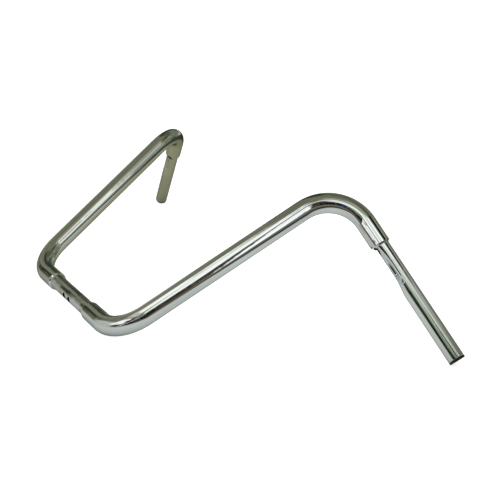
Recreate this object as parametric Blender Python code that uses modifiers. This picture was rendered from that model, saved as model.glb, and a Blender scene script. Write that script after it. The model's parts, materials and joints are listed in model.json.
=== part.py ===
"""A chrome-plated motorcycle handlebar of the tall, pulled-back kind, piece by piece.

Two 1-1/4 in riser tubes are each bent twice. They slip over a 1 in clamp tube at the middle
and over a 1 in grip tube at the top, and a weld bead closes every joint. The grip tubes are
pressed in underneath for the control wiring, which enters the bar through an opening at the
riser's lip and leaves it through two holes in the clamp tube. A plastic plug closes each end.

The bar is drawn standing, with its risers upright: +X to the rider's right-hand end, +Y
towards the rider, +Z up, and the origin at the middle of the clamp tube. One empty then
turns it about the clamp's axis until it lies on its lower tubes and both grip ends.
"""
import math

import bmesh
import bpy
from mathutils import Matrix, Vector

MM = 0.001
COLLECTION_NAME = "handlebar"
SIDES = (("right", 1), ("left", -1))

# Tubes and the clearance between pieces that touch.
RISER_RADIUS = 15.875 * MM
GRIP_RADIUS = 12.7 * MM
GRIP_WALL = 3.0 * MM
GAP = 0.3 * MM
SLIP_DEPTH = 34.0 * MM

# The bent shape: corners where the centre lines would meet, and the bends that round them.
LOWER_CORNER = 175.5 * MM
RISER_LENGTH = 410.0 * MM
RISER_ANGLE = math.radians(77.5)
GRIP_RUN = 315.0 * MM
PULLBACK_ANGLE = math.radians(45.35)
DROOP_ANGLE = math.radians(11.6)
BEND_RADIUS = 68.0 * MM
BEND_STEP = math.radians(9.0)

# The clamp tube: half the length that shows between the risers, and its wiring holes.
CLAMP_HALF = 72.6 * MM
HOLE_RADIUS = 5.2 * MM
HOLE_SPACING = 21.0 * MM
HOLE_TURN = math.radians(27.0)

# Riser ends.
CLAMP_END_CHAMFER = 2.0 * MM
GRIP_END_CHAMFER = 1.0 * MM
CLAMP_BEAD = 1.0 * MM
GRIP_BEAD = 1.3 * MM

# The grip: exposed length with its plug, and the wiring opening. Turns are counted from
# straight below towards the middle of the bar.
GRIP_LENGTH = 204.0 * MM
OPENING_LENGTH = 20.0 * MM
OPENING_WIDTH = 16.0 * MM
OPENING_INSET = 7.5 * MM
OPENING_TURN = math.radians(10.0)

# The grip's underside is pressed into a broad hollow with a narrower crease along its front.
# Ends are distances from the riser's end face.
HOLLOW_TURN = math.radians(12.0)
HOLLOW_SPREAD = math.radians(72.0)
HOLLOW_DEPTH = 4.6 * MM
HOLLOW_END = 88.0 * MM
HOLLOW_RUN_IN = 11.0 * MM
HOLLOW_RUN_OUT = 40.0 * MM
CREASE_TURN = math.radians(-32.0)
CREASE_SPREAD = math.radians(43.0)
CREASE_DEPTH = 5.5 * MM
CREASE_END = 69.0 * MM
CREASE_RUN_IN = 40.0 * MM
CREASE_RUN_OUT = 18.0 * MM
PRESSED_RING = 5.5 * MM

# End plugs.
FLANGE_THICKNESS = 3.9 * MM
FLANGE_ROUND = 0.9 * MM
STEM_LENGTH = 22.0 * MM
STEM_RADIUS = 8.2 * MM
RIB_RADIUS = 9.2 * MM
RIB_COUNT = 4
PLUG_HOLLOW = 5.6 * MM
RIB_SLOPE = 0.3
RIM_SLOPE = 0.3

# Weld beads: the toe that runs out along the tube, and how full the face is.
BEAD_TOE = 0.3 * MM
BEAD_LIFT = 0.25 * MM
BEAD_FULLNESS = 0.55

# How far cutters reach past what they cut.
OVERRUN = 4.0 * MM
OPENING_CUTTER_DEPTH = 20.0 * MM
OPENING_CUTTER_CENTRE = 12.0 * MM

# Facets round the tubes.
OUTER_SIDES = 24
INNER_SIDES = 20
BORE_FACTOR = 1.0 / math.cos(math.pi / INNER_SIDES)
RISER_BORE = (GRIP_RADIUS + GAP) * BORE_FACTOR

CHROME = ((0.74, 0.75, 0.75), 0.07, 1.0)
WELD_CHROME = ((0.70, 0.71, 0.71), 0.16, 1.0)
BLACK_PLASTIC = ((0.018, 0.018, 0.019), 0.42, 0.0)


def clear_scene():
    for old in list(bpy.data.objects):
        bpy.data.objects.remove(old, do_unlink=True)


def new_collection(name):
    collection = bpy.data.collections.new(name)
    bpy.context.scene.collection.children.link(collection)
    return collection


def finish(obj, look):
    """Give a piece its own material and smooth, sharp-edged shading."""
    colour, roughness, metallic = look
    material = bpy.data.materials.new(obj.name + "_finish")
    material.use_nodes = True
    shader = material.node_tree.nodes["Principled BSDF"]
    shader.inputs["Base Color"].default_value = (*colour, 1.0)
    shader.inputs["Roughness"].default_value = roughness
    shader.inputs["Metallic"].default_value = metallic
    obj.data.materials.clear()
    obj.data.materials.append(material)
    obj.data.shade_smooth()
    obj.data.set_sharp_from_angle(angle=math.radians(35))


def place(obj, collection, matrix=None):
    """Link an object under the empty that lays the bar down."""
    collection.objects.link(obj)
    obj.parent = stand
    obj.matrix_local = matrix or Matrix.Identity(4)
    return obj


def hide_cutter(obj):
    obj.hide_render = True
    obj.display_type = "WIRE"
    return obj


def cut(obj, cutter):
    modifier = obj.modifiers.new("cut_" + cutter.name, "BOOLEAN")
    modifier.operation = "DIFFERENCE"
    modifier.solver = "EXACT"
    modifier.object = cutter


def mirrored(vector, sign):
    return Vector((sign * vector.x, vector.y, vector.z))


def corners():
    """The right half's corners: middle, lower corner, upper corner and plug face."""
    lower = Vector((LOWER_CORNER, 0.0, 0.0))
    rise = Vector((math.cos(RISER_ANGLE), 0.0, math.sin(RISER_ANGLE)))
    upper = lower + RISER_LENGTH * rise
    level = math.cos(DROOP_ANGLE)
    outward = level * math.cos(PULLBACK_ANGLE)
    rearward = level * math.sin(PULLBACK_ANGLE)
    along_grip = Vector((outward, rearward, -math.sin(DROOP_ANGLE)))
    return [Vector((0.0, 0.0, 0.0)), lower, upper, upper + GRIP_RUN * along_grip]


def bend_points(before, corner, after):
    """Points on the arc that rounds one corner, both tangent points included."""
    into = (corner - before).normalized()
    out = (after - corner).normalized()
    angle = into.angle(out)
    start = corner - into * BEND_RADIUS * math.tan(angle / 2)
    inward = (out - into * out.dot(into)).normalized()
    centre = start + inward * BEND_RADIUS
    steps = math.ceil(angle / BEND_STEP)
    turns = [angle * step / steps for step in range(steps + 1)]
    return [centre + BEND_RADIUS * (into * math.sin(t) - inward * math.cos(t)) for t in turns]


def riser_path(sign):
    """The riser's centre line between its two ends, with both bends."""
    middle, lower, upper, tip = [mirrored(corner, sign) for corner in corners()]
    towards_grip = (tip - upper).normalized()
    path = [Vector((sign * CLAMP_HALF, 0.0, 0.0))]
    path += bend_points(middle, lower, upper)
    path += bend_points(lower, upper, tip)
    path.append(tip - towards_grip * GRIP_LENGTH)
    return path


def rod_mesh(name, stations, radius, sides):
    """A solid rod through (point, share of the radius) stations, as a welded mesh."""
    curve = bpy.data.curves.new(name, "CURVE")
    curve.dimensions = "3D"
    curve.bevel_depth = radius
    curve.bevel_resolution = sides // 2 - 2
    curve.use_fill_caps = True
    spline = curve.splines.new("POLY")
    spline.points.add(len(stations) - 1)
    for spot, (point, share) in zip(spline.points, stations):
        spot.co = (*point, 1.0)
        spot.radius = share
    drawn = bpy.data.objects.new(name, curve)
    bpy.context.scene.collection.objects.link(drawn)
    bpy.context.view_layer.update()
    evaluated = drawn.evaluated_get(bpy.context.evaluated_depsgraph_get())
    mesh = bpy.data.meshes.new_from_object(evaluated)
    weld = bmesh.new()
    weld.from_mesh(mesh)
    bmesh.ops.remove_doubles(weld, verts=weld.verts, dist=0.01 * MM)
    weld.to_mesh(mesh)
    weld.free()
    bpy.data.objects.remove(drawn, do_unlink=True)
    bpy.data.curves.remove(curve)
    mesh.name = name
    return mesh


def cylinder_mesh(name, radius, length, sides):
    """A capped cylinder along Z, centred on the origin."""
    mesh = bpy.data.meshes.new(name)
    build = bmesh.new()
    bmesh.ops.create_cone(build, cap_ends=True, segments=sides,
                          radius1=radius, radius2=radius, depth=length)
    build.to_mesh(mesh)
    build.free()
    return mesh


def turned(name, profile, closed):
    """A piece turned about Z from (radius, height) points that run down its outer side."""
    mesh = bpy.data.meshes.new(name)
    points = [(radius, 0.0, height) for radius, height in profile]
    edges = [(index, index + 1) for index in range(len(points) - 1)]
    if closed:
        edges.append((len(points) - 1, 0))
    mesh.from_pydata(points, edges, [])
    piece = bpy.data.objects.new(name, mesh)
    screw = piece.modifiers.new("turn", "SCREW")
    screw.axis = "Z"
    screw.steps = OUTER_SIDES
    screw.render_steps = OUTER_SIDES
    screw.use_merge_vertices = True
    screw.merge_threshold = 0.01 * MM
    screw.use_smooth_shade = False
    return piece


def riser_tube(side, sign):
    path = riser_path(sign)
    first = (path[1] - path[0]).normalized()
    last = (path[-1] - path[-2]).normalized()
    clamp_share = 1.0 - CLAMP_END_CHAMFER / RISER_RADIUS
    grip_share = 1.0 - GRIP_END_CHAMFER / RISER_RADIUS
    stations = [(path[0], clamp_share), (path[0] + first * CLAMP_END_CHAMFER, 1.0)]
    stations += [(point, 1.0) for point in path[1:-1]]
    stations += [(path[-1] - last * GRIP_END_CHAMFER, 1.0), (path[-1], grip_share)]
    name = "riser_tube_" + side
    tube = bpy.data.objects.new(name, rod_mesh(name, stations, RISER_RADIUS, OUTER_SIDES))
    place(tube, parts)
    hollow = [path[0] - first * OVERRUN] + path[1:-1] + [path[-1] + last * OVERRUN]
    bore_name = "riser_bore_" + side
    bore_mesh = rod_mesh(bore_name, [(point, 1.0) for point in hollow], RISER_BORE, INNER_SIDES)
    bore = place(bpy.data.objects.new(bore_name, bore_mesh), cutters)
    cut(tube, hide_cutter(bore))
    return tube


def clamp_tube():
    name = "centre_clamp_tube"
    along_x = Matrix.Rotation(math.pi / 2, 4, "Y")
    length = 2 * (CLAMP_HALF + SLIP_DEPTH)
    tube = bpy.data.objects.new(name, cylinder_mesh(name, GRIP_RADIUS, length, OUTER_SIDES))
    place(tube, parts, along_x)
    bore_radius = GRIP_RADIUS - GRIP_WALL
    bore_mesh = cylinder_mesh("clamp_bore", bore_radius, length + 2 * OVERRUN, INNER_SIDES)
    bore = place(bpy.data.objects.new("clamp_bore", bore_mesh), cutters, along_x)
    cut(tube, hide_cutter(bore))
    for side, sign in SIDES:
        hole_name = "wiring_hole_" + side
        drill_mesh = cylinder_mesh(hole_name, HOLE_RADIUS, 2 * GRIP_RADIUS, OUTER_SIDES)
        turn = Matrix.Rotation(-HOLE_TURN, 4, "X")
        shift = Matrix.Translation((sign * HOLE_SPACING / 2, 0.0, 0.0))
        reach = Matrix.Translation((0.0, 0.0, -1.5 * GRIP_RADIUS))
        drill = place(bpy.data.objects.new(hole_name, drill_mesh), cutters, shift @ turn @ reach)
        cut(tube, hide_cutter(drill))
    return tube


def grip_frame(sign):
    """Origin at the plug's outer face, +Z out along the grip, +X out through the opening."""
    upper, tip = [mirrored(corner, sign) for corner in corners()[2:]]
    along = (tip - upper).normalized()
    down = Vector((0.0, 0.0, -1.0))
    below = (down - along * down.dot(along)).normalized()
    inboard = along.cross(below) * sign
    across = below * math.cos(OPENING_TURN) + inboard * math.sin(OPENING_TURN)
    frame = Matrix((across, along.cross(across), along)).transposed().to_4x4()
    frame.translation = tip
    return frame


def smooth_rise(share):
    share = min(max(share, 0.0), 1.0)
    return share * share * (3.0 - 2.0 * share)


def bell(angle, spread):
    """One at the middle, falling smoothly to nothing at the spread on either side."""
    share = min(abs(angle) / spread, 1.0)
    return 0.5 * (1.0 + math.cos(math.pi * share))


def pressed_in(height, turn):
    """How far the grip's wall is pressed in, at a height along it and a turn from below."""
    past_riser = height + GRIP_LENGTH
    hollow = smooth_rise((past_riser + OPENING_INSET) / HOLLOW_RUN_IN + 0.5)
    hollow *= smooth_rise((HOLLOW_END - past_riser) / HOLLOW_RUN_OUT)
    crease = smooth_rise(past_riser / CREASE_RUN_IN)
    crease *= smooth_rise((CREASE_END - past_riser) / CREASE_RUN_OUT)
    depth = HOLLOW_DEPTH * hollow * bell(turn - HOLLOW_TURN, HOLLOW_SPREAD)
    return depth + CREASE_DEPTH * crease * bell(turn - CREASE_TURN, CREASE_SPREAD)


def grip_heights():
    """Ring heights of the grip tube, close together only where it is pressed in."""
    bottom = -GRIP_LENGTH - SLIP_DEPTH
    top = -FLANGE_THICKNESS - GAP
    first = -GRIP_LENGTH - OPENING_INSET - HOLLOW_RUN_IN / 2
    last = -GRIP_LENGTH + HOLLOW_END
    count = math.ceil((last - first) / PRESSED_RING)
    pressed = [first + (last - first) * step / count for step in range(count + 1)]
    return [bottom] + pressed + [top]


def grip_tube(side, sign):
    """An open tube surface, pressed in underneath and given its wall."""
    heights = grip_heights()
    build = bmesh.new()
    bmesh.ops.create_grid(build, x_segments=len(heights) - 1, y_segments=OUTER_SIDES, size=0.5)
    for vert in build.verts:
        height = heights[round((vert.co.x + 0.5) * (len(heights) - 1))]
        angle = 2 * math.pi * (round((vert.co.y + 0.5) * OUTER_SIDES) / OUTER_SIDES - 0.5)
        radius = GRIP_RADIUS - pressed_in(height, OPENING_TURN + sign * angle)
        vert.co = (radius * math.cos(angle), radius * math.sin(angle), height)
    bmesh.ops.remove_doubles(build, verts=build.verts, dist=0.01 * MM)
    bmesh.ops.recalc_face_normals(build, faces=build.faces)
    name = "grip_tube_" + side
    mesh = bpy.data.meshes.new(name)
    build.to_mesh(mesh)
    build.free()
    tube = place(bpy.data.objects.new(name, mesh), parts, grip_frame(sign))
    wall = tube.modifiers.new("wall", "SOLIDIFY")
    wall.thickness = GRIP_WALL
    wall.offset = -1.0
    return tube


def wiring_opening(side, sign):
    """A cutter with round ends that notches the riser's lip and enters the grip tube."""
    name = "wiring_opening_" + side
    mesh = cylinder_mesh(name, OPENING_WIDTH / 2, OPENING_CUTTER_DEPTH, OUTER_SIDES)
    stretch = (OPENING_LENGTH - OPENING_WIDTH) / 2
    for vert in mesh.vertices:
        if abs(vert.co.x) > GAP:
            vert.co.x += math.copysign(stretch, vert.co.x)
    middle = -GRIP_LENGTH - OPENING_INSET + OPENING_LENGTH / 2
    lay_out = Matrix.Rotation(math.pi / 2, 4, "Y")
    reach = Matrix.Translation((OPENING_CUTTER_CENTRE, 0.0, middle))
    cutter = bpy.data.objects.new(name, mesh)
    return hide_cutter(place(cutter, cutters, grip_frame(sign) @ reach @ lay_out))


def weld_bead(name, leg, matrix):
    """A fillet round the smaller tube, below the riser's end face at height zero."""
    inside = GRIP_RADIUS + GAP
    belly = BEAD_FULLNESS * leg
    profile = [(inside + leg, -GAP), (inside + belly, -GAP - belly), (inside + BEAD_LIFT, -GAP - leg)]
    profile += [(inside, -GAP - leg - BEAD_TOE), (inside, -GAP)]
    bead = turned(name, profile, closed=True)
    return place(bead, parts, matrix)


def end_plug(side, sign):
    """A flange that covers the tube's end and a ribbed, hollow stem inside it."""
    stem_top = -FLANGE_THICKNESS
    stem_end = stem_top - STEM_LENGTH
    profile = [(0.0, 0.0), (GRIP_RADIUS - FLANGE_ROUND, 0.0)]
    rim = RIM_SLOPE * FLANGE_ROUND
    profile += [(GRIP_RADIUS - rim, -rim), (GRIP_RADIUS, -FLANGE_ROUND)]
    profile += [(GRIP_RADIUS, stem_top), (STEM_RADIUS, stem_top)]
    pitch = STEM_LENGTH / (RIB_COUNT + 0.5)
    for rib in range(RIB_COUNT):
        crest = stem_top - pitch * (rib + 0.75)
        profile.append((STEM_RADIUS, crest + RIB_SLOPE * pitch))
        profile.append((RIB_RADIUS, crest))
        profile.append((STEM_RADIUS, crest - RIB_SLOPE * pitch))
    profile += [(STEM_RADIUS, stem_end), (PLUG_HOLLOW, stem_end)]
    profile += [(PLUG_HOLLOW, stem_top), (0.0, stem_top)]
    return place(turned("end_plug_" + side, profile, closed=False), parts, grip_frame(sign))


def lying_angle():
    """The turn about X at which lower tubes and grip ends touch one level surface."""
    tip = corners()[3]
    along = (tip - corners()[2]).normalized()
    angle = math.radians(-57.0)
    for _ in range(20):
        slope = along.y * math.sin(angle) + along.z * math.cos(angle)
        rim_radius = GRIP_RADIUS - RIM_SLOPE * FLANGE_ROUND
        below_tip = rim_radius * math.sqrt(1.0 - slope * slope)
        wanted = below_tip - RISER_RADIUS
        angle = math.atan2(tip.y, tip.z) - math.acos(wanted / math.hypot(tip.y, tip.z))
    return angle


clear_scene()
parts = new_collection(COLLECTION_NAME)
cutters = new_collection("cutters")
stand = bpy.data.objects.new("lying_on_a_bench", None)
parts.objects.link(stand)
stand.rotation_euler = (lying_angle(), 0.0, 0.0)

finish(clamp_tube(), CHROME)
for side, sign in SIDES:
    riser = riser_tube(side, sign)
    grip = grip_tube(side, sign)
    face_outward = Matrix.Rotation(sign * math.pi / 2, 4, "Y")
    clamp_end = Matrix.Translation((sign * CLAMP_HALF, 0.0, 0.0)) @ face_outward
    clamp_weld = weld_bead("clamp_weld_" + side, CLAMP_BEAD, clamp_end)
    face_back = Matrix.Rotation(math.pi, 4, "X")
    riser_end = grip_frame(sign) @ Matrix.Translation((0.0, 0.0, -GRIP_LENGTH)) @ face_back
    grip_weld = weld_bead("grip_weld_" + side, GRIP_BEAD, riser_end)
    opening = wiring_opening(side, sign)
    for piece in (riser, grip, grip_weld):
        cut(piece, opening)
    finish(riser, CHROME)
    finish(grip, CHROME)
    finish(clamp_weld, WELD_CHROME)
    finish(grip_weld, WELD_CHROME)
    finish(end_plug(side, sign), BLACK_PLASTIC)
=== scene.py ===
"""Looks of a chrome-plated motorcycle handlebar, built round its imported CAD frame.

Every CAD node is replaced by a fine mesh of the same piece: risers swept round their bent
centre lines, a knurled and drilled clamp tube, grip tubes with their pressed wiring channels,
dressed weld fillets and moulded end plugs. Polished chrome shows what stands round it, so the
studio is drawn with care: a pale table, a dim olive room, and the bright panels in it.
"""

import json
import math

import bmesh
import bpy
import numpy as np
from mathutils import Matrix, Vector


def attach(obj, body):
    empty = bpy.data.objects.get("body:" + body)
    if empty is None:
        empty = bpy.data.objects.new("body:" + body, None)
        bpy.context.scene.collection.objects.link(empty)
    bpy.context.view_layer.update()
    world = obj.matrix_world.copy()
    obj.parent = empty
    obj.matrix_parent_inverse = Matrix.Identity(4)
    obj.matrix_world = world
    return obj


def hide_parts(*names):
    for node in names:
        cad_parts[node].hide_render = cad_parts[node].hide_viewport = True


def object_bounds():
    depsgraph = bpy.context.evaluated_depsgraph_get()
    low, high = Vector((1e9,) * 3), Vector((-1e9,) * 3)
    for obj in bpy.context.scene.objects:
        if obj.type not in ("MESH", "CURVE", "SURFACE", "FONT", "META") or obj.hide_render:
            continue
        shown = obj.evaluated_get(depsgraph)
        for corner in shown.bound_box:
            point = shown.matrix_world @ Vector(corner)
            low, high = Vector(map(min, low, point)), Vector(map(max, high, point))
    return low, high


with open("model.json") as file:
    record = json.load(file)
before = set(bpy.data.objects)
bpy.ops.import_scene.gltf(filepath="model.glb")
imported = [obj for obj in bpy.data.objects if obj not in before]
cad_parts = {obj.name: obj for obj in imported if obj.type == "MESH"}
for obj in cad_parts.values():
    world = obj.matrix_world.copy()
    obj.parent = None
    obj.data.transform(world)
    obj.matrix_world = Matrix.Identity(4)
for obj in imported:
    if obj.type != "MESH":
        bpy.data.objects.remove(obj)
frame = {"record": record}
cad_low, cad_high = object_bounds()

MM = 0.001

# Sizes that the CAD part shares with this script.
RISER_RADIUS = 15.875 * MM
GRIP_RADIUS = 12.7 * MM
TUBE_WALL = 3.0 * MM
GAP = 0.3 * MM
SLIP_DEPTH = 34.0 * MM
LOWER_CORNER = 175.5 * MM
GRIP_RUN = 315.0 * MM
BEND_RADIUS = 68.0 * MM
CLAMP_HALF = 72.6 * MM
CLAMP_END_CHAMFER = 2.0 * MM
GRIP_END_CHAMFER = 1.0 * MM
CLAMP_BEAD = 1.0 * MM
GRIP_BEAD = 1.3 * MM
HOLE_RADIUS = 5.2 * MM
HOLE_SPACING = 21.0 * MM
HOLE_TURN = math.radians(27.0)
GRIP_LENGTH = 204.0 * MM
OPENING_LENGTH = 20.0 * MM
OPENING_WIDTH = 16.0 * MM
OPENING_INSET = 7.5 * MM
OPENING_TURN = math.radians(10.0)
HOLLOW_TURN = math.radians(12.0)
HOLLOW_SPREAD = math.radians(72.0)
HOLLOW_DEPTH = 4.6 * MM
HOLLOW_END = 88.0 * MM
HOLLOW_RUN_IN = 11.0 * MM
HOLLOW_RUN_OUT = 40.0 * MM
CREASE_TURN = math.radians(-32.0)
CREASE_SPREAD = math.radians(43.0)
CREASE_DEPTH = 5.5 * MM
CREASE_END = 69.0 * MM
CREASE_RUN_IN = 40.0 * MM
CREASE_RUN_OUT = 18.0 * MM
FLANGE_THICKNESS = 3.9 * MM
FLANGE_ROUND = 0.9 * MM
STEM_LENGTH = 22.0 * MM
STEM_RADIUS = 8.2 * MM
RIB_RADIUS = 9.2 * MM
RIB_COUNT = 4
PLUG_HOLLOW = 5.6 * MM

# Fine detail that only the visual model has.
SIDES = 96
LONG_RUN = 3.0 * MM
SUPPORT = 0.5 * MM
MERGE_DISTANCE = 1e-7
BEND_STEP = math.radians(1.25)
SHARP_ANGLE = math.radians(32.0)
KNURL_START = 32.0 * MM
KNURL_END = 57.0 * MM
KNURL_DEPTH = 0.28 * MM
KNURL_RIDGES = 36
KNURL_PITCH = 2.2 * MM
KNURL_DETAIL = 6
KNURL_SIDES = KNURL_DETAIL * KNURL_RIDGES
KNURL_EDGE = 1.0 * MM
KNURL_STEEPNESS = 1.5
CUTTER_START = 2.0 * MM
CUTTER_END = 22.0 * MM
RIPPLE_HEIGHT = 0.05 * MM
RIPPLE_COUNT = 46
RIPPLE_LEAN = 0.9 / MM
BEAD_TOE = 0.6 * MM
BEAD_STEPS = 10
OPENING_POINTS = 72
RIB_SLOPE = 0.3
DISH_DEPTH = 0.35 * MM
DISH_RADIUS = 9.4 * MM
DISH_SIDE = 0.5 * MM
GATE_DEPTH = 0.5 * MM
GATE_RADIUS = 1.1 * MM
GATE_SIDE = 0.2 * MM

# Places that the frame gives.
mounts = {mount["name"]: mount for mount in frame["record"]["mounts"]}
PLUG_FACE = Vector(mounts["right_plug_face"]["pos_m"])
GRIP_AXIS = Vector(mounts["right_plug_face"]["axis"]).normalized()
ALONG_X = Vector((1.0, 0.0, 0.0))
LOWER = LOWER_CORNER * ALONG_X
UPPER = PLUG_FACE - GRIP_RUN * GRIP_AXIS
BAR_UP = Vector((0.0, (UPPER - LOWER).y, (UPPER - LOWER).z)).normalized()
BAR_FRONT = ALONG_X.cross(BAR_UP)


# ---------------------------------------------------------------- shapes

class BentLine:
    """A centre line through corners, rounded by arcs; at() gives a point and a direction."""

    def __init__(self, corners, bend_radius):
        self.spans = []
        self.bends = []
        distance = 0.0
        here = corners[0]
        for before, corner, after in zip(corners, corners[1:], corners[2:]):
            into = (corner - before).normalized()
            out = (after - corner).normalized()
            angle = into.angle(out)
            start = corner - into * bend_radius * math.tan(angle / 2)
            inward = (out - into * out.dot(into)).normalized()
            self.spans.append((distance, here, into, None))
            distance += (start - here).length
            self.spans.append((distance, start + inward * bend_radius, into, inward))
            self.bends.append((distance, distance + bend_radius * angle))
            distance += bend_radius * angle
            here = corner + out * bend_radius * math.tan(angle / 2)
        last = (corners[-1] - corners[-2]).normalized()
        self.spans.append((distance, here, last, None))
        self.length = distance + (corners[-1] - here).length
        self.bend_radius = bend_radius

    def at(self, distance):
        begin, spot, into, inward = [span for span in self.spans if span[0] <= distance + 1e-9][-1]
        if inward is None:
            return spot + into * (distance - begin), into
        turn = (distance - begin) / self.bend_radius
        point = spot + self.bend_radius * (into * math.sin(turn) - inward * math.cos(turn))
        return point, into * math.cos(turn) + inward * math.sin(turn)

    def stations(self, step):
        """Distances every step round each bend, both ends included."""
        found = []
        for begin, end in self.bends:
            count = math.ceil((end - begin) / (self.bend_radius * step))
            found += [begin + (end - begin) * index / count for index in range(count + 1)]
        return found


class StraightLine:
    """A straight centre line from a point, with the same at() as a bent one."""

    def __init__(self, start, direction):
        self.start = start
        self.direction = direction.normalized()

    def at(self, distance):
        return self.start + self.direction * distance, self.direction


def rounded(profile, steps=5):
    """Round each corner of a closed (along, radius, rounding) profile by its rounding."""
    smooth = []
    for before, here, after in zip(profile[-1:] + profile[:-1], profile, profile[1:] + profile[:1]):
        corner = Vector(here[:2])
        if not here[2]:
            smooth.append(tuple(corner))
            continue
        back = (Vector(before[:2]) - corner).normalized()
        ahead = (Vector(after[:2]) - corner).normalized()
        half = back.angle(ahead) / 2
        centre = corner + (back + ahead).normalized() * here[2] / math.sin(half)
        start = corner + back * here[2] / math.tan(half) - centre
        end = corner + ahead * here[2] / math.tan(half) - centre
        for step in range(steps + 1):
            share = step / steps
            turn = start.angle(end)
            spoke = start * math.sin((1 - share) * turn) + end * math.sin(share * turn)
            smooth.append(tuple(centre + spoke / math.sin(turn)))
    return smooth


def with_stations(profile, stations):
    """Add rings to a profile's long runs: near both ends of each, and at the stations."""
    dense = []
    for (along, radius), (next_along, next_radius) in zip(profile, profile[1:] + profile[:1]):
        dense.append((along, radius))
        low, high = sorted((along, next_along))
        if high - low < LONG_RUN:
            continue
        extra = {low + SUPPORT, high - SUPPORT}
        extra.update(station for station in stations if low + SUPPORT < station < high - SUPPORT)
        for station in sorted(extra, reverse=next_along < along):
            share = (station - along) / (next_along - along)
            dense.append((station, radius + share * (next_radius - radius)))
    return dense


def swept(name, line, profile, sides, reference, press=None, bore=0.0):
    """Carry a closed (along, radius) profile round a centre line.

    press(along, angles) is how far the surface is pushed in there, with the angles counted
    from the reference direction. Faces no further out than bore get the second material.
    """
    angles = np.linspace(0.0, 2.0 * math.pi, sides, endpoint=False)
    rings = []
    for along, radius in profile:
        centre, forward = line.at(along)
        across = (reference - forward * reference.dot(forward)).normalized()
        beside = forward.cross(across)
        radii = radius - press(along, angles) if press and radius > 0 else np.full(sides, radius)
        spokes = np.outer(radii * np.cos(angles), across) + np.outer(radii * np.sin(angles), beside)
        rings.append(np.array(centre) + spokes)
    count = len(profile)
    verts = np.concatenate(rings)
    ring, side = np.meshgrid(np.arange(count), np.arange(sides), indexing="ij")
    after, beyond = (ring + 1) % count, (side + 1) % sides
    corners = [ring * sides + side, ring * sides + beyond, after * sides + beyond, after * sides + side]
    quads = np.stack(corners, axis=-1).reshape(-1, 4)
    mesh = bpy.data.meshes.new(name)
    mesh.from_pydata(verts.tolist(), [], quads.tolist())
    radii = np.array([radius for _, radius in profile])
    in_bore = radii <= bore + MERGE_DISTANCE
    inner = in_bore & np.roll(in_bore, -1)
    mesh.polygons.foreach_set("material_index", np.repeat(inner, sides).astype(np.int32))
    tidy = bmesh.new()
    tidy.from_mesh(mesh)
    bmesh.ops.remove_doubles(tidy, verts=tidy.verts, dist=MERGE_DISTANCE)
    loose = [edge for edge in tidy.edges if not edge.link_faces]
    bmesh.ops.delete(tidy, geom=loose, context="EDGES")
    bmesh.ops.recalc_face_normals(tidy, faces=tidy.faces)
    tidy.to_mesh(mesh)
    tidy.free()
    piece = bpy.data.objects.new(name, mesh)
    bpy.context.scene.collection.objects.link(piece)
    return piece


def subtract(piece, cutter):
    """Cut one object from another and discard the cutter."""
    modifier = piece.modifiers.new("cut", "BOOLEAN")
    modifier.operation = "DIFFERENCE"
    modifier.solver = "EXACT"
    modifier.object = cutter
    bpy.context.view_layer.update()
    whole = piece.data
    evaluated = piece.evaluated_get(bpy.context.evaluated_depsgraph_get())
    piece.data = bpy.data.meshes.new_from_object(evaluated)
    piece.modifiers.clear()
    bpy.data.meshes.remove(whole)
    bpy.data.objects.remove(cutter, do_unlink=True)


def mirror_copy(piece, name):
    """The same piece on the other side of the plane through the clamp's middle."""
    mesh = piece.data.copy()
    mesh.name = name
    mesh.transform(Matrix.Scale(-1.0, 4, ALONG_X))
    mesh.flip_normals()
    twin = bpy.data.objects.new(name, mesh)
    bpy.context.scene.collection.objects.link(twin)
    return twin


def smooth_rise(share):
    share = np.clip(share, 0.0, 1.0)
    return share * share * (3.0 - 2.0 * share)


# ---------------------------------------------------------------- pieces

def riser_line():
    return BentLine([Vector((0.0, 0.0, 0.0)), LOWER, UPPER, PLUG_FACE], BEND_RADIUS)


def opening_direction():
    """Straight out through the middle of the right grip's wiring opening."""
    below = (-BAR_UP + GRIP_AXIS * BAR_UP.dot(GRIP_AXIS)).normalized()
    inboard = GRIP_AXIS.cross(below)
    return below * math.cos(OPENING_TURN) + inboard * math.sin(OPENING_TURN)


def opening_cutter():
    """A round-ended block where the wiring enters beneath the riser's lip."""
    across = opening_direction()
    turns = np.linspace(0.0, 2.0 * math.pi, OPENING_POINTS, endpoint=False)
    stretch = (OPENING_LENGTH - OPENING_WIDTH) / 2
    middle = -GRIP_LENGTH - OPENING_INSET + OPENING_LENGTH / 2
    beside = GRIP_AXIS.cross(across)
    outline = []
    for turn in turns:
        along = OPENING_WIDTH / 2 * math.cos(turn)
        along += math.copysign(stretch, along)
        outline.append((middle + along, OPENING_WIDTH / 2 * math.sin(turn)))
    cutter = bmesh.new()
    loops = []
    for height in (CUTTER_START, CUTTER_END):
        base = PLUG_FACE + across * height
        loops.append([cutter.verts.new(base + GRIP_AXIS * along + beside * wide)
                      for along, wide in outline])
    count = len(outline)
    for index in range(count):
        after = (index + 1) % count
        cutter.faces.new((loops[0][index], loops[0][after], loops[1][after], loops[1][index]))
    cutter.faces.new(loops[0][::-1])
    cutter.faces.new(loops[1])
    bmesh.ops.recalc_face_normals(cutter, faces=cutter.faces)
    mesh = bpy.data.meshes.new("opening_cutter")
    cutter.to_mesh(mesh)
    cutter.free()
    piece = bpy.data.objects.new("opening_cutter", mesh)
    bpy.context.scene.collection.objects.link(piece)
    return piece


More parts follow.
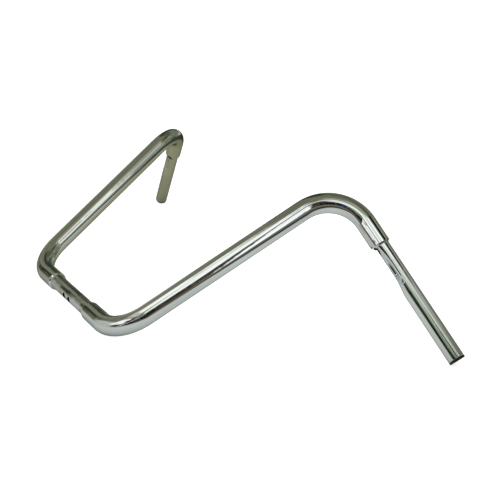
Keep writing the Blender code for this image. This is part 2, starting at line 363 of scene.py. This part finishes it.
def riser_tube():
    line = riser_line()
    first = CLAMP_HALF
    last = line.length - GRIP_LENGTH
    bore = GRIP_RADIUS + GAP
    profile = [(first, bore, 0.0),
               (first, RISER_RADIUS - CLAMP_END_CHAMFER, 0.3 * MM),
               (first + CLAMP_END_CHAMFER, RISER_RADIUS, 1.4 * MM),
               (last - GRIP_END_CHAMFER, RISER_RADIUS, 0.8 * MM),
               (last, RISER_RADIUS - GRIP_END_CHAMFER, 0.3 * MM),
               (last, bore, 0.0)]
    profile = with_stations(rounded(profile), line.stations(BEND_STEP))
    reference = ALONG_X.cross(UPPER - LOWER)
    tube = swept("riser_tube_right_fine", line, profile, SIDES, reference, bore=bore)
    subtract(tube, opening_cutter())
    return tube


def knurl(along, angles):
    """Two crossing sets of grooves in a band each side of the clamp tube's middle."""
    place = abs(along)
    strength = smooth_rise((place - KNURL_START) / KNURL_EDGE)
    strength *= smooth_rise((KNURL_END - place) / KNURL_EDGE)
    if strength <= 0.0:
        return np.zeros_like(angles)
    turn = angles * KNURL_RIDGES / (2.0 * math.pi)
    rise = along / KNURL_PITCH
    one = np.abs(2.0 * ((turn + rise) % 1.0) - 1.0)
    other = np.abs(2.0 * ((turn - rise) % 1.0) - 1.0)
    crest = np.minimum(1.0, KNURL_STEEPNESS * np.minimum(one, other))
    return KNURL_DEPTH * strength * (1.0 - crest)


def clamp_tube():
    half = CLAMP_HALF + SLIP_DEPTH
    bore = GRIP_RADIUS - TUBE_WALL
    line = StraightLine(Vector((0.0, 0.0, 0.0)), ALONG_X)
    profile = [(-half, bore, 0.0), (-half, GRIP_RADIUS, 0.5 * MM),
               (half, GRIP_RADIUS, 0.5 * MM), (half, bore, 0.0)]
    spacing = KNURL_PITCH / KNURL_DETAIL
    count = round((KNURL_END - KNURL_START) / spacing) + 1
    band = [KNURL_START + spacing * index for index in range(count)]
    stations = band + [-place for place in band]
    rings = with_stations(rounded(profile), stations)
    rings = [(along, radius) for along, radius in rings
             if radius > bore + SUPPORT / 2 or abs(along) > half - 2 * SUPPORT]
    tube = swept("centre_clamp_tube_fine", line, rings, KNURL_SIDES, BAR_UP, press=knurl, bore=bore)
    away = BAR_FRONT * math.sin(HOLE_TURN) - BAR_UP * math.cos(HOLE_TURN)
    drill_profile = [(CUTTER_START, 0.0), (CUTTER_START, HOLE_RADIUS),
                     (CUTTER_END, HOLE_RADIUS), (CUTTER_END, 0.0)]
    for sign in (1, -1):
        drill_line = StraightLine(ALONG_X * sign * HOLE_SPACING / 2, away)
        subtract(tube, swept("drill", drill_line, drill_profile, SIDES, ALONG_X))
    return tube


def bell(turns, spread):
    """One at no turn, falling smoothly to nothing at the spread on either side."""
    away = np.abs((turns + math.pi) % (2.0 * math.pi) - math.pi)
    return 0.5 * (1.0 + np.cos(math.pi * np.clip(away / spread, 0.0, 1.0)))


def pressed_in(along, angles):
    """How far the grip's wall is pressed in: a broad hollow and a crease along its front."""
    past_riser = along + GRIP_LENGTH
    hollow = smooth_rise((past_riser + OPENING_INSET) / HOLLOW_RUN_IN + 0.5)
    hollow *= smooth_rise((HOLLOW_END - past_riser) / HOLLOW_RUN_OUT)
    crease = smooth_rise(past_riser / CREASE_RUN_IN)
    crease *= smooth_rise((CREASE_END - past_riser) / CREASE_RUN_OUT)
    turns = angles + OPENING_TURN
    depth = HOLLOW_DEPTH * hollow * bell(turns - HOLLOW_TURN, HOLLOW_SPREAD)
    return depth + CREASE_DEPTH * crease * bell(turns - CREASE_TURN, CREASE_SPREAD)


def grip_tube():
    bottom = -GRIP_LENGTH - SLIP_DEPTH
    top = -FLANGE_THICKNESS - GAP
    bore = GRIP_RADIUS - TUBE_WALL
    line = StraightLine(PLUG_FACE, GRIP_AXIS)
    profile = [(top, bore, 0.0), (top, GRIP_RADIUS, 0.6 * MM),
               (bottom, GRIP_RADIUS, 0.4 * MM), (bottom, bore, 0.0)]
    first = -GRIP_LENGTH - OPENING_INSET - HOLLOW_RUN_IN / 2
    last = -GRIP_LENGTH + HOLLOW_END
    profile = with_stations(rounded(profile), np.arange(first, last + MM, MM).tolist())
    name = "grip_tube_right_fine"
    tube = swept(name, line, profile, SIDES, opening_direction(), press=pressed_in, bore=bore)
    subtract(tube, opening_cutter())
    return tube


def weld_bead(name, line, leg, cut):
    """A dressed fillet with a hollow face and the faint ripple of the weld."""
    inside = GRIP_RADIUS - RIPPLE_HEIGHT
    outside = GRIP_RADIUS + GAP + leg
    foot = leg + GAP + BEAD_TOE
    profile = [(RIPPLE_HEIGHT, inside)]
    for step in range(BEAD_STEPS + 1):
        turn = math.pi / 2 * step / BEAD_STEPS
        along = -foot * (1.0 - math.sin(turn))
        profile.append((along, outside - (outside - inside) * math.cos(turn)))
    profile.append((RIPPLE_HEIGHT, outside))

    def ripple(along, angles):
        swell = np.sin(RIPPLE_COUNT * angles + RIPPLE_LEAN * along)
        return RIPPLE_HEIGHT * swell * min(1.0, abs(along) / MM)

    bead = swept(name, line, profile, 4 * SIDES, opening_direction(), press=ripple)
    if cut:
        subtract(bead, opening_cutter())
    return bead


def end_plug():
    """A flange with a dished face and a moulding gate's dimple, on a ribbed hollow stem."""
    line = StraightLine(PLUG_FACE, GRIP_AXIS)
    shelf = -FLANGE_THICKNESS
    profile = [(-GATE_DEPTH, 0.0, 0.0), (-GATE_DEPTH, GATE_RADIUS, 0.1 * MM),
               (-DISH_DEPTH, GATE_RADIUS + GATE_SIDE, 0.1 * MM),
               (-DISH_DEPTH, DISH_RADIUS, 0.2 * MM), (0.0, DISH_RADIUS + DISH_SIDE, 0.2 * MM),
               (0.0, GRIP_RADIUS, FLANGE_ROUND), (shelf, GRIP_RADIUS, 0.15 * MM),
               (shelf, STEM_RADIUS, 0.0)]
    pitch = STEM_LENGTH / (RIB_COUNT + 0.5)
    for rib in range(RIB_COUNT):
        crest = shelf - pitch * (rib + 0.75)
        profile += [(crest + RIB_SLOPE * pitch, STEM_RADIUS, 0.2 * MM), (crest, RIB_RADIUS, 0.15 * MM),
                    (crest - RIB_SLOPE * pitch, STEM_RADIUS, 0.2 * MM)]
    stem_end = shelf - STEM_LENGTH
    profile += [(stem_end, STEM_RADIUS, 0.3 * MM), (stem_end, PLUG_HOLLOW, 0.2 * MM),
                (shelf, PLUG_HOLLOW, 0.4 * MM), (shelf, 0.0, 0.0)]
    return swept("end_plug_right_fine", line, rounded(profile), SIDES, opening_direction())


# ---------------------------------------------------------------- finishes

class Graph:
    """Short calls for building a node tree."""

    def __init__(self, tree):
        self.tree = tree
        tree.nodes.clear()

    def node(self, kind, **settings):
        made = self.tree.nodes.new(kind)
        for name, value in settings.items():
            setattr(made, name, value)
        return made

    def feed(self, socket, value):
        if isinstance(value, bpy.types.NodeSocket):
            self.tree.links.new(value, socket)
        else:
            socket.default_value = value

    def math(self, operation, *values):
        made = self.node("ShaderNodeMath", operation=operation)
        for socket, value in zip(made.inputs, values):
            self.feed(socket, value)
        return made.outputs[0]

    def ramp(self, value, low, high, to_low=0.0, to_high=1.0, smooth=False):
        made = self.node("ShaderNodeMapRange", interpolation_type="SMOOTHSTEP" if smooth else "LINEAR")
        for name, given in (("Value", value), ("From Min", low), ("From Max", high),
                            ("To Min", to_low), ("To Max", to_high)):
            self.feed(made.inputs[name], given)
        return made.outputs[0]

    def mix(self, share, one, other):
        made = self.node("ShaderNodeMix", data_type="RGBA")
        for index, value in ((0, share), (6, one), (7, other)):
            if isinstance(value, tuple):
                value = (*value, 1.0)[:4]
            self.feed(made.inputs[index], value)
        return made.outputs[2]

    def noise(self, where, scale, detail=4.0, roughness=0.5, distortion=0.0):
        made = self.node("ShaderNodeTexNoise")
        self.feed(made.inputs["Vector"], where)
        self.feed(made.inputs["Scale"], scale)
        self.feed(made.inputs["Detail"], detail)
        self.feed(made.inputs["Roughness"], roughness)
        self.feed(made.inputs["Distortion"], distortion)
        return made.outputs["Fac"]


def new_material(name):
    material = bpy.data.materials.new(name)
    material.use_nodes = True
    graph = Graph(material.node_tree)
    shader = graph.node("ShaderNodeBsdfPrincipled")
    output = graph.node("ShaderNodeOutputMaterial")
    graph.feed(output.inputs["Surface"], shader.outputs[0])
    where = graph.node("ShaderNodeTexCoord").outputs["Object"]
    return material, graph, shader, where


def bump(graph, height, distance, strength, normal=None):
    made = graph.node("ShaderNodeBump")
    graph.feed(made.inputs["Height"], height)
    graph.feed(made.inputs["Distance"], distance)
    graph.feed(made.inputs["Strength"], strength)
    if normal is not None:
        graph.feed(made.inputs["Normal"], normal)
    return made.outputs[0]


def chrome(name, haze=0.0):
    """Bright plate: faint waves, hairline polishing marks, smears, and a little haze."""
    material, graph, shader, where = new_material(name)
    tone = graph.noise(where, 26.0, 3.0)
    smear = graph.ramp(graph.noise(where, 58.0, 5.0, 0.6, 0.4), 0.45, 0.75)
    specks = graph.ramp(graph.noise(where, 900.0, 2.0), 0.66, 0.74)
    hairlines = graph.noise(where, 2400.0, 2.0, 0.7)
    colour = graph.mix(tone, (0.69, 0.70, 0.70), (0.74, 0.75, 0.745))
    dirt = graph.math("MULTIPLY", specks, 0.25)
    graph.feed(shader.inputs["Base Color"], graph.mix(dirt, colour, (0.52, 0.50, 0.46)))
    shader.inputs["Metallic"].default_value = 1.0
    shader.inputs["Specular Tint"].default_value = (0.55, 0.56, 0.55, 1.0)
    rough = graph.ramp(smear, 0.0, 1.0, 0.008 + haze, 0.05 + haze)
    scratched = graph.math("MULTIPLY", hairlines, 0.015)
    graph.feed(shader.inputs["Roughness"], graph.math("ADD", rough, scratched))
    waves = bump(graph, graph.noise(where, 34.0, 2.0), 0.0006, 0.35)
    graph.feed(shader.inputs["Normal"], bump(graph, hairlines, 0.00001, 0.12, waves))
    return material


def bare_steel():
    """The unplated inside of the tubes: drawn steel, dull, with a bloom of rust."""
    material, graph, shader, where = new_material("bare_steel_bore")
    rust = graph.ramp(graph.noise(where, 120.0, 6.0, 0.65), 0.5, 0.7)
    colour = graph.mix(rust, (0.12, 0.115, 0.11), (0.10, 0.045, 0.02))
    graph.feed(shader.inputs["Base Color"], colour)
    graph.feed(shader.inputs["Metallic"], graph.ramp(rust, 0.0, 1.0, 0.9, 0.1))
    graph.feed(shader.inputs["Roughness"], graph.ramp(rust, 0.0, 1.0, 0.45, 0.85))
    graph.feed(shader.inputs["Normal"], bump(graph, rust, 0.0002, 0.5))
    return material


def black_plastic():
    """Moulded polyethylene: near black, satin, with fine spark-eroded grain and scuffs."""
    material, graph, shader, where = new_material("black_plastic")
    grain = graph.noise(where, 3200.0, 3.0)
    scuff = graph.ramp(graph.noise(where, 240.0, 6.0, 0.7, 1.2), 0.56, 0.7)
    colour = graph.mix(scuff, (0.011, 0.011, 0.012), (0.035, 0.035, 0.036))
    graph.feed(shader.inputs["Base Color"], colour)
    graph.feed(shader.inputs["Roughness"], graph.ramp(scuff, 0.0, 1.0, 0.36, 0.58))
    shader.inputs["Specular IOR Level"].default_value = 0.25
    graph.feed(shader.inputs["Normal"], bump(graph, grain, 0.00006, 0.4))
    return material


# ---------------------------------------------------------------- studio

CAMERA_SPOT = Vector((1.26696, -0.46466, 0.54900))
CAMERA_AIM = Vector((0.07384, 0.29836, 0.05476))
CAMERA_ROLL = math.radians(1.62)
CAMERA_LENS = 61.79

# What the chrome sees of the studio, each patch placed by azimuth (0 towards -Y, 90 towards
# +X) and elevation, with half sizes and edge softness in degrees. Lean slants the upright
# sides and slope the level ones. Colours are as they look in the plate, on a 255 scale.
PLATE_REFLECTANCE = 0.72


def seen_as(red, green, blue):
    """The light that makes polished plate look this colour."""
    return tuple((value / 255) ** 2.2 / PLATE_REFLECTANCE for value in (red, green, blue))


ROOM = seen_as(104, 105, 88)
PATCHES = (
    # name, azimuth, elevation, half width, half height, soft, lean, slope, colour
    ("back_wall", 195, 25, 45, 20, 16, 0, 0, seen_as(104, 111, 96)),
    ("back_shade", 195, 57, 62, 12, 12, 0, 0, seen_as(80, 84, 66)),
    ("low_wall", 215, 2, 18, 9, 8, 0, 0, seen_as(172, 174, 162)),
    ("back_skirting", 172, 3, 9, 10, 6, 0, 0, seen_as(68, 74, 61)),
    ("dark_doorway", 250, 36, 11, 24, 8, 0.15, 0, seen_as(52, 57, 43)),
    ("side_wall", 272, 24, 10, 12, 6, -0.1, 0, seen_as(116, 120, 105)),
    ("side_lamp", 264, 5, 6, 9, 4, 0.8, 0, seen_as(232, 233, 226)),
    ("cabinet", 291, 17, 6, 11, 6, -0.25, 0, seen_as(44, 49, 38)),
    ("pale_door", 323, 8, 19, 20, 7, 0, 0, seen_as(166, 173, 164)),
    ("corner_wall", 124, 20, 12, 15, 8, 0, 0, seen_as(130, 136, 128)),
    ("curtain_side", 112, 44, 5, 11, 5, -0.62, 0, seen_as(162, 169, 158)),
    ("curtain", 104, 40, 5, 20, 3, -0.62, 0, seen_as(212, 219, 209)),
    ("curtain_fold", 102, 42, 2, 4, 2, -0.62, 0, seen_as(128, 134, 122)),
    ("low_shelf", 125, 4, 9, 5, 4, 0, 0, seen_as(84, 92, 85)),
    ("curtain_shade", 82, 66, 34, 6, 7, 0, 0, seen_as(156, 149, 135)),
    ("blind_foot", 90, 46, 9, 4, 4, 0, 0, seen_as(164, 158, 157)),
    ("blind_side", 71, 49, 17, 6, 4, 0, 0, seen_as(202, 214, 210)),
    ("blind", 93, 54, 9, 2.5, 3, 0, 0, seen_as(252, 250, 248)),
    ("right_shelf", 140, 45, 28, 3.5, 5, 0, -0.3, seen_as(156, 157, 148)),
    ("dark_beam", 140, 50, 18, 4, 3, 0, -0.25, seen_as(18, 19, 14)),
    ("camera_side", 32, 14, 46, 22, 8, 0, 0.1, seen_as(58, 56, 47)),
    ("lit_bench", 350, 26, 17, 12, 7, 0, 0, seen_as(236, 234, 234)),
    ("dark_stand", 18, 14, 11, 14, 6, -0.4, 0, seen_as(26, 26, 21)),
    ("green_gear", 40, 26, 8, 5, 4, 0, 0.5, seen_as(112, 138, 106)),
    ("blue_gear", 45, 10, 3, 11, 3, 0.15, 0, seen_as(34, 46, 90)),
    ("black_camera", 57, 7, 9, 16, 5, -0.1, 0, seen_as(14, 17, 13)),
    ("brown_frame", 66, 12, 1.8, 13, 3, -0.4, 0, seen_as(66, 52, 44)),
    ("reflector", 74, 15, 4, 20, 3, -0.45, 0, seen_as(238, 244, 246)),
    ("bench_rim", 22, 18.5, 26, 1.8, 2, 0, 0.92, seen_as(236, 236, 234)),
    ("sill", 12, 37, 26, 3.5, 4, 0, -0.3, seen_as(108, 103, 84)),
    ("window_shade", 345, 45, 36, 4, 6, 0, -0.05, seen_as(190, 182, 176)),
    ("window", 2, 56, 37, 6.5, 6, 0, -0.03, seen_as(240, 244, 241)),
    ("window_bar", 4, 58.5, 36, 0.8, 1.6, 0, -0.03, seen_as(192, 194, 186)),
    ("window_near", 44, 44, 11, 9, 5, 0, -0.5, seen_as(242, 246, 244)),
)

# The table as the chrome sees it, a painted reflection: cool and pale to the right, olive to
# the left, and dim floor past its edges. Distances are in metres from the middle of the bar.
TABLE_PALE = seen_as(178, 184, 181)
TABLE_OLIVE = seen_as(135, 136, 112)
TABLE_FAR_LEFT = seen_as(152, 154, 134)
TABLE_EDGE = seen_as(44, 41, 36)
FLOOR_RIGHT = seen_as(106, 101, 92)
FLOOR_FRONT = seen_as(96, 91, 85)
FLOOR_BACK = seen_as(62, 65, 51)
TABLE_FRONT_EDGE = -0.28
TABLE_RIGHT_EDGE = 0.54
TABLE_BACK_EDGE = 0.78
SHADOW_REACH = 0.16

# The mesh that stands for the table, far wider than it looks and just under the bar.
TABLE_HALF = 30.0
TABLE_DROP = 0.2 * MM
TABLE_COLOUR = (0.85, 0.86, 0.86, 1.0)
TABLE_GLOW = 0.8


def studio_world():
    world = bpy.data.worlds.new("studio")
    bpy.context.scene.world = world
    world.use_nodes = True
    graph = Graph(world.node_tree)
    look = graph.node("ShaderNodeTexCoord").outputs["Generated"]
    split = graph.node("ShaderNodeSeparateXYZ")
    graph.feed(split.inputs[0], look)
    x, y, z = split.outputs
    to_degrees = math.degrees(1.0)
    bearing = graph.math("ARCTAN2", x, graph.math("MULTIPLY", y, -1.0))
    azimuth = graph.math("MULTIPLY", bearing, to_degrees)
    elevation = graph.math("MULTIPLY", graph.math("ARCSINE", z), to_degrees)
    colour = graph.mix(graph.ramp(elevation, -2.0, 1.0), TABLE_PALE, ROOM)
    for _, at_azimuth, at_elevation, half_width, half_height, soft, lean, slope, shade in PATCHES:
        aside = graph.math("WRAP", graph.math("SUBTRACT", azimuth, at_azimuth), 180.0, -180.0)
        above = graph.math("SUBTRACT", elevation, at_elevation)
        upright = graph.math("SUBTRACT", aside, graph.math("MULTIPLY", above, lean))
        level = graph.math("SUBTRACT", above, graph.math("MULTIPLY", aside, slope))
        across = graph.math("ABSOLUTE", upright)
        upward = graph.math("ABSOLUTE", level)
        wide = graph.ramp(across, half_width + soft / 2, half_width - soft / 2, smooth=True)
        high = graph.ramp(upward, half_height + soft / 2, half_height - soft / 2, smooth=True)
        colour = graph.mix(graph.math("MULTIPLY", wide, high), colour, shade)
    clutter = graph.ramp(graph.noise(look, 7.0, 3.0, 0.6), 0.3, 0.7, 0.75, 1.25)
    colour = scaled(graph, colour, clutter)
    glints = graph.math("MULTIPLY", graph.ramp(graph.noise(look, 46.0, 1.0), 0.66, 0.72),
                        graph.ramp(elevation, 44.0, 34.0))
    colour = graph.mix(graph.math("MULTIPLY", glints, 0.55), colour, seen_as(214, 220, 214))
    camera_ray = graph.node("ShaderNodeLightPath").outputs["Is Camera Ray"]
    shown = graph.mix(camera_ray, colour, (1.0, 1.0, 1.0))
    background = graph.node("ShaderNodeBackground")
    graph.feed(background.inputs["Color"], shown)
    output = graph.node("ShaderNodeOutputWorld")
    graph.feed(output.inputs["Surface"], background.outputs[0])


def scaled(graph, colour, strength):
    """A colour times a number, each a socket."""
    product = graph.node("ShaderNodeVectorMath", operation="SCALE")
    graph.feed(product.inputs["Vector"], colour)
    graph.feed(product.inputs["Scale"], strength)
    return product.outputs[0]


def painted_table_reflection(graph):
    """A painted reflection: the table's colours as the chrome reflects them, with painted shadow near
    the bar.
    """
    where = graph.node("ShaderNodeTexCoord").outputs["Object"]
    split = graph.node("ShaderNodeSeparateXYZ")
    graph.feed(split.inputs[0], where)
    x, y, _ = split.outputs
    leftward = graph.math("SUBTRACT", graph.math("MULTIPLY", y, 0.5), x)
    colour = graph.mix(graph.ramp(leftward, -0.05, 0.35, smooth=True), TABLE_PALE, TABLE_OLIVE)
    colour = graph.mix(graph.ramp(x, -0.6, -0.9, smooth=True), colour, TABLE_FAR_LEFT)
    over_front = graph.ramp(y, TABLE_FRONT_EDGE + 0.06, TABLE_FRONT_EDGE - 0.1, smooth=True)
    on_right = graph.ramp(x, -0.1, 0.15, smooth=True)
    colour = graph.mix(graph.math("MULTIPLY", over_front, on_right), colour, FLOOR_FRONT)
    past = graph.ramp(x, TABLE_RIGHT_EDGE - 0.08, TABLE_RIGHT_EDGE + 0.02, smooth=True)
    away = graph.ramp(x, TABLE_RIGHT_EDGE + 0.05, TABLE_RIGHT_EDGE + 0.5)
    colour = graph.mix(past, colour, graph.mix(away, TABLE_EDGE, FLOOR_RIGHT))
    over_back = graph.ramp(y, TABLE_BACK_EDGE - 0.14, TABLE_BACK_EDGE + 0.06, smooth=True)
    colour = graph.mix(over_back, colour, FLOOR_BACK)
    mottle = graph.ramp(graph.noise(where, 6.0, 3.0), 0.3, 0.7, 0.93, 1.07)
    # Painted shadow: ambient occlusion darkens the reflected table colour near the bar.
    shade = graph.node("ShaderNodeAmbientOcclusion", samples=8)
    graph.feed(shade.inputs["Distance"], SHADOW_REACH)
    shadow = graph.ramp(shade.outputs["AO"], 0.0, 1.0, 0.3, 1.0)
    return scaled(graph, colour, graph.math("MULTIPLY", mottle, shadow))


def table_top():
    """A plain pale surface under the bar, bright enough to wash out all but faint shadows; reflections
    see a painted table instead.
    """
    mesh = bpy.data.meshes.new("table_top")
    height = cad_low.z - TABLE_DROP
    square = ((-1, -1), (1, -1), (1, 1), (-1, 1))
    corners = [(x * TABLE_HALF, y * TABLE_HALF, height) for x, y in square]
    mesh.from_pydata(corners, [], [(0, 1, 2, 3)])
    table = bpy.data.objects.new("table_top", mesh)
    bpy.context.scene.collection.objects.link(table)
    material = bpy.data.materials.new("pale_table")
    material.use_nodes = True
    graph = Graph(material.node_tree)
    lit = graph.node("ShaderNodeBsdfDiffuse")
    lit.inputs["Color"].default_value = TABLE_COLOUR
    glow = graph.node("ShaderNodeEmission")
    glow.inputs["Color"].default_value = (1.0, 1.0, 1.0, 1.0)
    glow.inputs["Strength"].default_value = TABLE_GLOW
    seen = graph.node("ShaderNodeAddShader")
    graph.feed(seen.inputs[0], lit.outputs[0])
    graph.feed(seen.inputs[1], glow.outputs[0])
    # Painted reflection: glossy rays see this emission in place of the lit table.
    painted_reflection = graph.node("ShaderNodeEmission")
    graph.feed(painted_reflection.inputs["Color"], painted_table_reflection(graph))
    choose = graph.node("ShaderNodeMixShader")
    graph.feed(choose.inputs[0], graph.node("ShaderNodeLightPath").outputs["Is Glossy Ray"])
    graph.feed(choose.inputs[1], seen.outputs[0])
    graph.feed(choose.inputs[2], painted_reflection.outputs[0])
    output = graph.node("ShaderNodeOutputMaterial")
    graph.feed(output.inputs["Surface"], choose.outputs[0])
    mesh.materials.append(material)


def soft_light(name, spot, aim, size, watts):
    light = bpy.data.lights.new(name, "AREA")
    light.shape = "DISK"
    light.size = size
    light.energy = watts
    lamp = bpy.data.objects.new(name, light)
    bpy.context.scene.collection.objects.link(lamp)
    lamp.location = spot
    lamp.rotation_euler = (Vector(aim) - Vector(spot)).to_track_quat("-Z", "Y").to_euler()
    lamp.visible_glossy = False


def camera():
    data = bpy.data.cameras.new("camera")
    data.lens = CAMERA_LENS
    data.sensor_width = 36.0
    data.clip_start = 0.05
    made = bpy.data.objects.new("camera", data)
    bpy.context.scene.collection.objects.link(made)
    made.location = CAMERA_SPOT
    upright = (CAMERA_AIM - CAMERA_SPOT).to_track_quat("-Z", "Y").to_matrix()
    made.rotation_euler = (upright @ Matrix.Rotation(CAMERA_ROLL, 3, "Z")).to_euler()
    bpy.context.scene.camera = made


# ---------------------------------------------------------------- assembly

camera()
studio_world()
table_top()
middle = (cad_low + cad_high) / 2
soft_light("key", (1.2, -0.8, 1.6), middle, 1.4, 14.0)
soft_light("fill", (-1.6, 0.6, 1.5), middle, 1.6, 9.0)
bpy.context.scene.view_settings.view_transform = "Standard"

tube_chrome = chrome("polished_chrome")
bead_chrome = chrome("dressed_weld_chrome", haze=0.06)
bore_steel = bare_steel()
plug_black = black_plastic()

grip_line = StraightLine(PLUG_FACE - GRIP_AXIS * GRIP_LENGTH, -GRIP_AXIS)
clamp_line = StraightLine(ALONG_X * CLAMP_HALF, ALONG_X)
clamp_bead = weld_bead("clamp_weld_right_fine", clamp_line, CLAMP_BEAD, cut=False)
grip_bead = weld_bead("grip_weld_right_fine", grip_line, GRIP_BEAD, cut=True)
right_pieces = (
    (riser_tube(), "riser_tube", "chrome_tube", (tube_chrome, bore_steel)),
    (grip_tube(), "grip_tube", "chrome_tube", (tube_chrome, bore_steel)),
    (clamp_bead, "clamp_weld", "chrome_weld", (bead_chrome,)),
    (grip_bead, "grip_weld", "chrome_weld", (bead_chrome,)),
    (end_plug(), "end_plug", "black_plug", (plug_black,)),
)


def dress(piece, node, materials):
    """Give a fine piece its finish and let it stand for its CAD node."""
    piece.data.materials.clear()
    for material in materials:
        piece.data.materials.append(material)
    piece.data.shade_smooth()
    piece.data.set_sharp_from_angle(angle=SHARP_ANGLE)
    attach(piece, "root")
    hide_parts(node)


dress(clamp_tube(), "centre_clamp_tube", (tube_chrome, bore_steel))
for piece, base, slot, materials in right_pieces:
    twin = mirror_copy(piece, base + "_left_fine")
    dress(piece, base + "_right", materials)
    dress(twin, base + "_left", materials)
